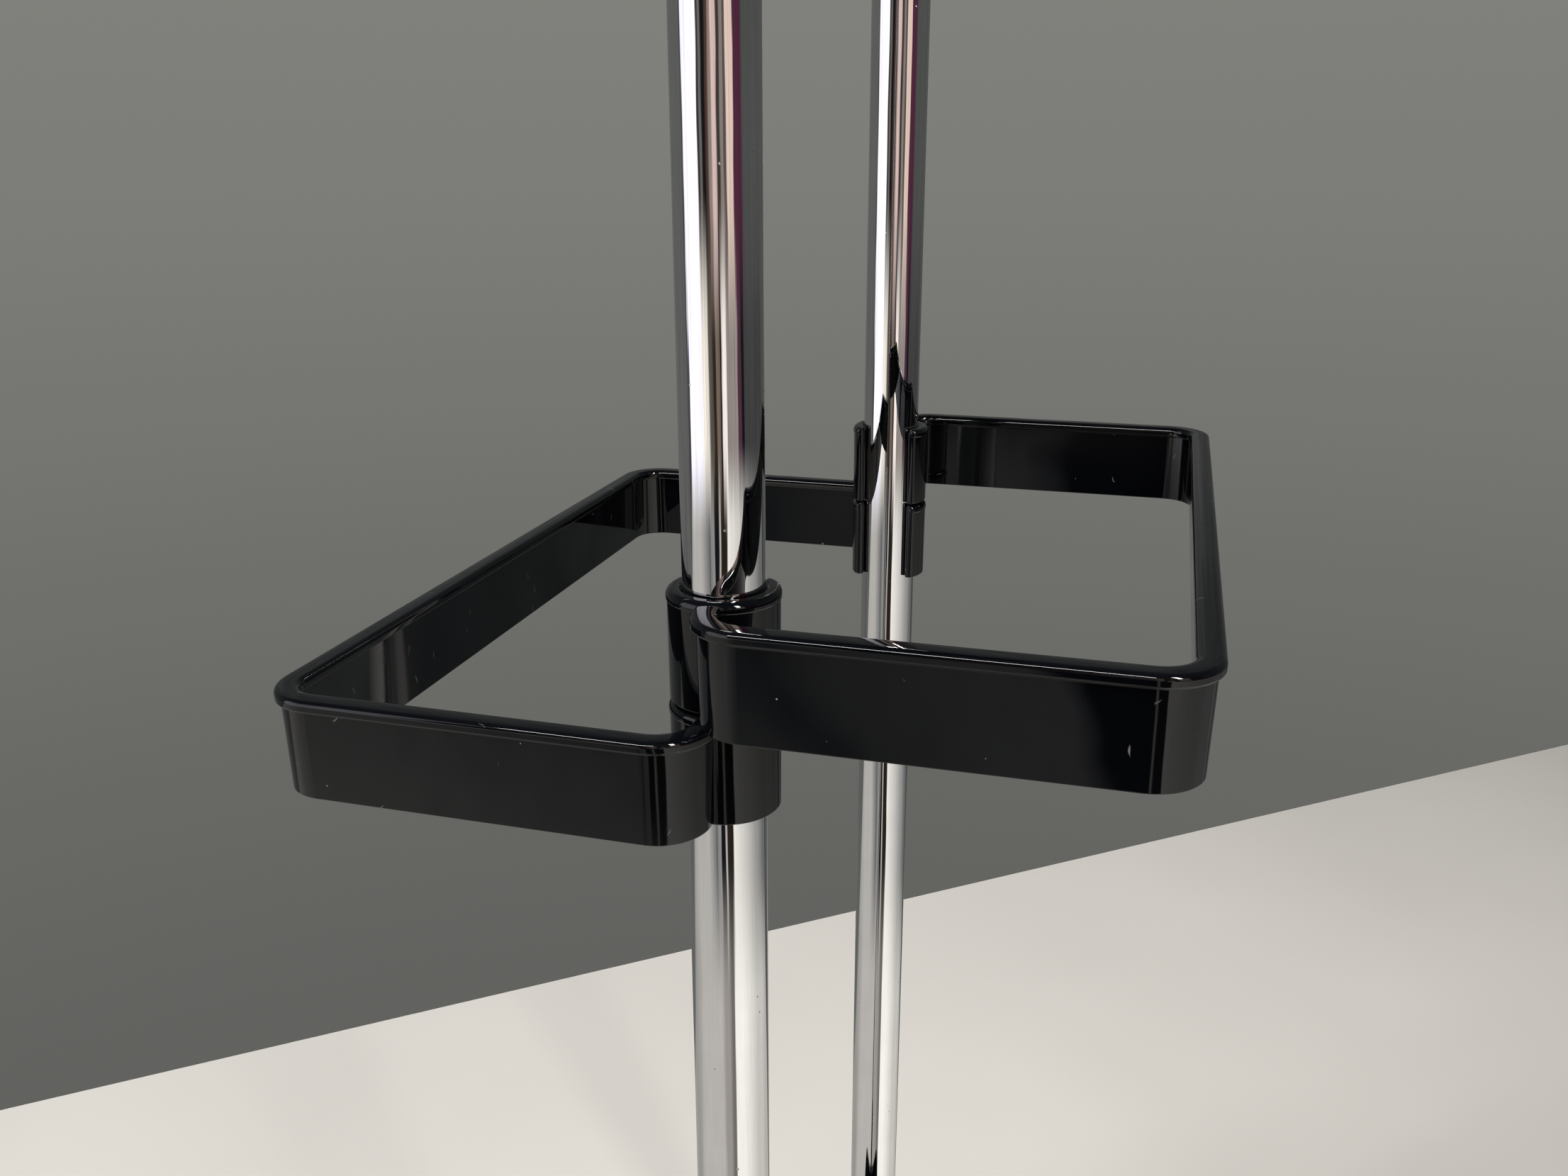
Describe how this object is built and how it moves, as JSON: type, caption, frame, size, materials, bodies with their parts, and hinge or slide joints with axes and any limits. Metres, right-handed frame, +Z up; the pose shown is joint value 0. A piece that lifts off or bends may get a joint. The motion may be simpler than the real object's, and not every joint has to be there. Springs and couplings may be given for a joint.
{
  "type": "valet stand",
  "caption": "Free-standing valet stand: weighted tray base, chromed posts, sliding black trouser loops, a jacket hanger and an accessory tray on top.",
  "frame": {"origin": "on the floor, midway between the posts and under the middle of the base", "axes": "+Z up along the posts, +X from the left post to the right post, -Y towards the front"},
  "size_m": [0.44, 0.2962, 1.123],
  "materials": {
    "chromed_steel": "bright chromed steel tube",
    "black_abs": "deep glossy black injection-moulded ABS",
    "ballast_steel": "black painted steel plate",
    "foot_rubber": "matt black rubber",
    "zinc_steel": "zinc-plated steel"
  },
  "bodies": {
    "stand": {"base_shell": "black_abs", "ballast_plate": "ballast_steel", "front_left_foot": "foot_rubber", "front_right_foot": "foot_rubber", "rear_left_foot": "foot_rubber", "rear_right_foot": "foot_rubber", "foot_screws": "zinc_steel", "base_bolts": "zinc_steel", "base_washers": "zinc_steel", "left_lower_insert": "zinc_steel", "right_lower_insert": "zinc_steel", "left_post": "chromed_steel", "right_post": "chromed_steel", "left_base_collar": "black_abs", "right_base_collar": "black_abs", "left_upper_insert": "zinc_steel", "right_upper_insert": "zinc_steel", "hanger": "black_abs", "hanger_screws": "zinc_steel", "accessory_tray": "black_abs", "tray_screws": "zinc_steel"},
    "front_loop": {"front_trouser_loop": "black_abs"},
    "back_loop": {"back_trouser_loop": "black_abs"}
  },
  "joints": [
    {"name": "front_loop_slide", "type": "slide", "parent": "stand", "child": "front_loop", "axis": [0, 0, 1], "range_m": [0, 0.365]},
    {"name": "back_loop_slide", "type": "slide", "parent": "stand", "child": "back_loop", "axis": [0, 0, 1], "range_m": [-0.568, 0]}
  ]
}
